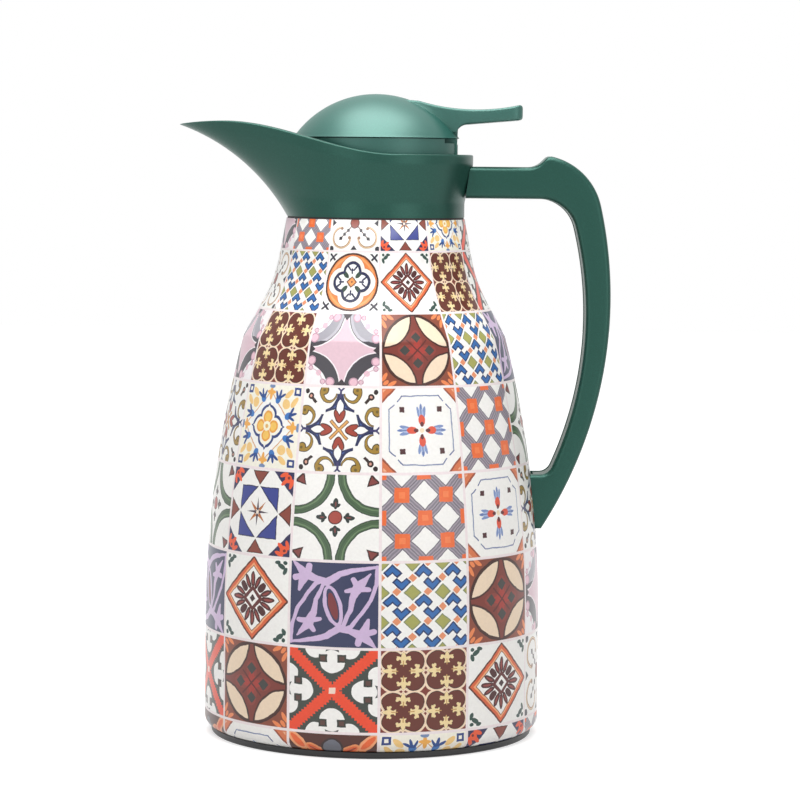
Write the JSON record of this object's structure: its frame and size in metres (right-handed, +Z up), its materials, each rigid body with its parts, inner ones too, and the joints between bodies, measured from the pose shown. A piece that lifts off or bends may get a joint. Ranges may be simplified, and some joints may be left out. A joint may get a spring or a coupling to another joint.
{
  "type": "vacuum jug",
  "caption": "Glass-lined vacuum jug with a printed sleeve, beak spout, loop handle and a screw stopper whose lever flips the domed cap and lifts the pouring valve.",
  "frame": {"origin": "centre of the base on the body's axis, on the surface the jug stands on", "axes": "+Z up along the body's axis, the spout points to -X, the handle to +X, +Y to the jug's left seen from the handle"},
  "size_m": [0.1734, 0.135, 0.2573],
  "materials": {
    "sleeve_print": "white gloss lacquer with a tile print",
    "foot_black": "black, moulded",
    "dark_rubber": "matt",
    "silvered_glass": "silvered inside the gap",
    "seal_white": "soft, white",
    "inner_plastic": "natural white, moulded",
    "green_plastic": "metallic green, satin gloss",
    "strip_plastic": "grey-green, satin",
    "spring_steel": "bright zinc"
  },
  "bodies": {
    "jug": {"outer_shell": "sleeve_print", "base_ring": "foot_black", "base_cap": "foot_black", "liner_cushion": "dark_rubber", "outer_flask": "silvered_glass", "inner_flask": "silvered_glass", "neck_gasket": "seal_white", "neck_insert": "inner_plastic", "neck_ring": "dark_rubber", "collar": "green_plastic", "handle_body": "green_plastic", "handle_strip": "strip_plastic", "arm_screw": "spring_steel", "foot_screw": "spring_steel", "foot_plate": "spring_steel"},
    "stopper": {"stopper_plug": "inner_plastic", "stopper_band": "green_plastic", "stopper_seal": "seal_white", "valve_seat": "inner_plastic", "valve_spring": "spring_steel", "hinge_pin": "spring_steel"},
    "valve": {"valve_stem": "inner_plastic", "valve_seal": "seal_white", "lift_yoke": "inner_plastic"},
    "cap": {"flip_cap": "green_plastic", "cap_liner": "inner_plastic"}
  },
  "joints": [
    {"name": "stopper_lift", "type": "slide", "parent": "jug", "child": "stopper", "axis": [0, 0, 1], "range_m": [0, 0.075]},
    {"name": "cap_flip", "type": "hinge", "parent": "stopper", "child": "cap", "pos_m": [0.029, 0, 0.238], "axis": [0, 1, 0], "range_deg": [0, 30]},
    {"name": "valve_rise", "type": "slide", "parent": "stopper", "child": "valve", "axis": [0, 0, 1], "range_m": [0, 0.0041], "stiffness_N_per_m": 200, "springref_m": -0.003, "deforming": ["valve_spring"]}
  ],
  "couplings": [
    {"joint": "cap_flip", "follows": "valve_rise", "rad_per_m": 125}
  ]
}
